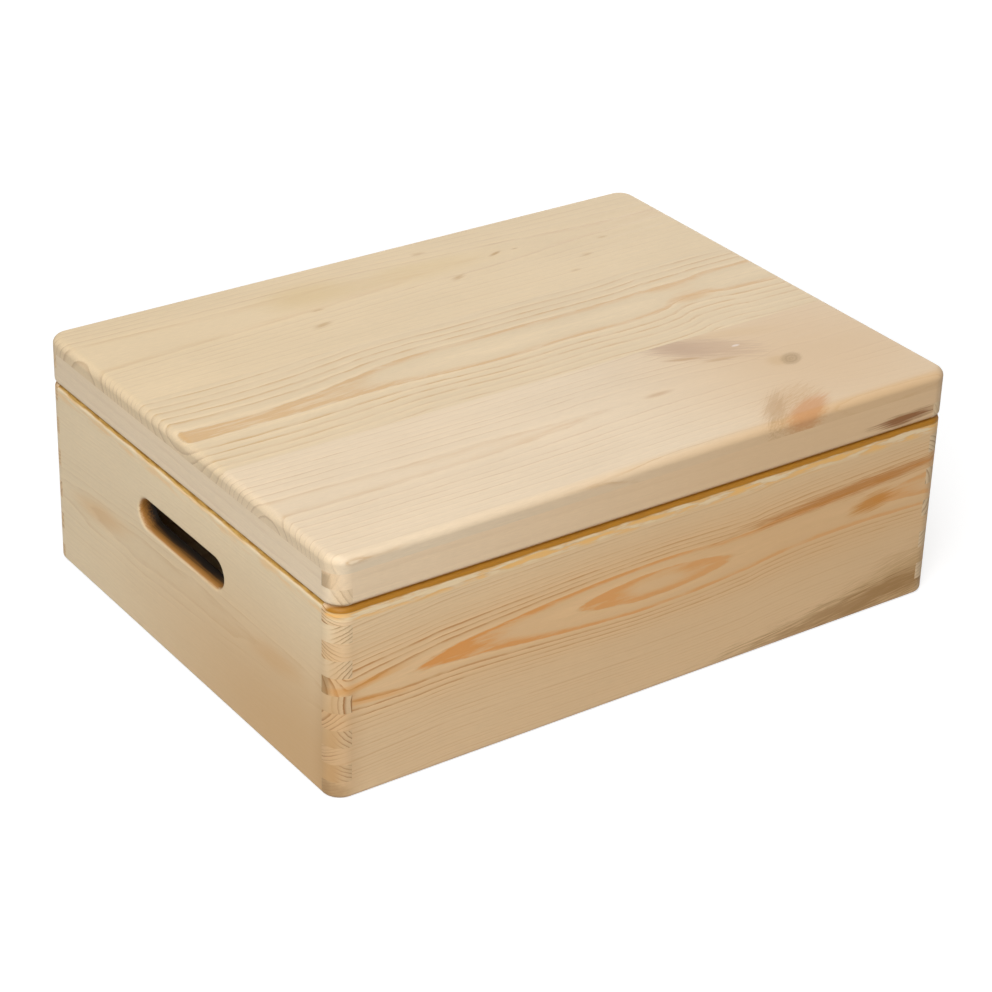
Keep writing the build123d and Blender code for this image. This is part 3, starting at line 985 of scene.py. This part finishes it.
        ],
    ),
]

hinge_brass = hinge_metal("satin_brass", tint(205, 172, 104), tint(172, 136, 76), 5.0)
screw_brass = hinge_metal("screw_brass", tint(198, 164, 98), tint(160, 124, 70), 9.0)
pin_steel = hinge_metal("drawn_steel", tint(176, 172, 164), tint(132, 128, 122), 13.0)

finishes = {board.node: pine_board(board) for board in boards}
finishes["bottom_panel"] = plywood_sheet()
for place in ("left", "right"):
    finishes[f"{place}_hinge_box_leaf"] = hinge_brass
    finishes[f"{place}_hinge_lid_leaf"] = hinge_brass
    finishes[f"{place}_hinge_pin"] = pin_steel
finishes["box_leaf_screws"] = screw_brass
finishes["lid_leaf_screws"] = screw_brass

for name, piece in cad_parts.items():
    piece.data.materials.clear()
    piece.data.materials.append(finishes[name])


def seen_directly(bench):
    """1 for rays from the camera, also by way of a mirror or glass, and 0 for other light."""
    path = bench.add("ShaderNodeLightPath")
    mirrored = bench.math("MAXIMUM", path.outputs["Is Glossy Ray"], path.outputs["Is Transmission Ray"])
    return bench.math("MAXIMUM", path.outputs["Is Camera Ray"], mirrored)


def lay_floor():
    turns = ((-1, -1), (1, -1), (1, 1), (-1, 1))
    mesh = bpy.data.meshes.new("studio_floor")
    mesh.from_pydata([(x * FLOOR_HALF, y * FLOOR_HALF, 0.0) for x, y in turns], [], [(0, 1, 2, 3)])
    floor = bpy.data.objects.new("studio_floor", mesh)
    bpy.context.scene.collection.objects.link(floor)
    material, bench, shader = new_material("white_floor")
    seen = seen_directly(bench)
    shader.inputs["Roughness"].default_value = 1.0
    shader.inputs["Specular IOR Level"].default_value = 0.0
    shader.inputs["Emission Color"].default_value = (1.0, 1.0, 1.0, 1.0)
    bounce = (FLOOR_BOUNCE, FLOOR_BOUNCE, FLOOR_BOUNCE, 1.0)
    shown = (FLOOR_SEEN, FLOOR_SEEN, FLOOR_SEEN, 1.0)
    bench.feed(shader.inputs["Base Color"], bench.mix(seen, bounce, shown))
    parts = bench.add("ShaderNodeSeparateXYZ")
    bench.feed(parts.inputs[0], bench.add("ShaderNodeTexCoord").outputs["Object"])
    outside = bench.ease(bench.length(parts.outputs["X"], parts.outputs["Y"]), *SHADOW_REACH, FLOOR_GLOW, 1.0)
    bench.feed(shader.inputs["Emission Strength"], bench.product(seen, outside))
    mesh.materials.append(material)


def hang_softbox(name, place, size, power):
    """A round soft light that faces the box."""
    lamp = bpy.data.lights.new(name, "AREA")
    lamp.shape = "DISK"
    lamp.size = size
    lamp.energy = power
    softbox = bpy.data.objects.new(name, lamp)
    softbox.location = place
    softbox.rotation_euler = (-place).to_track_quat("-Z", "Y").to_euler()
    bpy.context.scene.collection.objects.link(softbox)


def light_studio():
    world = bpy.data.worlds.new("studio_white")
    world.use_nodes = True
    bpy.context.scene.world = world
    bench = NodeBench(world.node_tree)
    background = world.node_tree.nodes["Background"]
    background.inputs["Color"].default_value = (1.0, 1.0, 1.0, 1.0)
    extra = bench.product(seen_directly(bench), 1.0 - WORLD_STRENGTH)
    bench.feed(background.inputs["Strength"], bench.total(extra, WORLD_STRENGTH))

    hang_softbox("key_softbox", KEY_PLACE, KEY_SIZE, KEY_POWER)
    hang_softbox("fill_softbox", FILL_PLACE, FILL_SIZE, FILL_POWER)
    hang_softbox("back_softbox", BACK_PLACE, BACK_SIZE, BACK_POWER)


def set_camera():
    sin_turn, cos_turn = math.sin(CAMERA_AZIMUTH), math.cos(CAMERA_AZIMUTH)
    sin_rise, cos_rise = math.sin(CAMERA_ELEVATION), math.cos(CAMERA_ELEVATION)
    back = Vector((sin_turn * cos_rise, -cos_turn * cos_rise, sin_rise))
    level = Vector((cos_turn, sin_turn, 0.0))
    upright = back.cross(level)
    right = math.cos(CAMERA_ROLL) * level + math.sin(CAMERA_ROLL) * upright
    up = math.cos(CAMERA_ROLL) * upright - math.sin(CAMERA_ROLL) * level
    stand = back * CAMERA_DISTANCE + right * CAMERA_RIGHT + up * CAMERA_UP
    lens = bpy.data.cameras.new("photo_camera")
    lens.lens = CAMERA_LENS
    camera = bpy.data.objects.new("photo_camera", lens)
    camera.matrix_world = Matrix.Translation(stand) @ Matrix((right, up, back)).transposed().to_4x4()
    bpy.context.scene.collection.objects.link(camera)
    bpy.context.scene.camera = camera


lay_floor()
light_studio()
set_camera()
bpy.context.scene.view_settings.view_transform = "Standard"
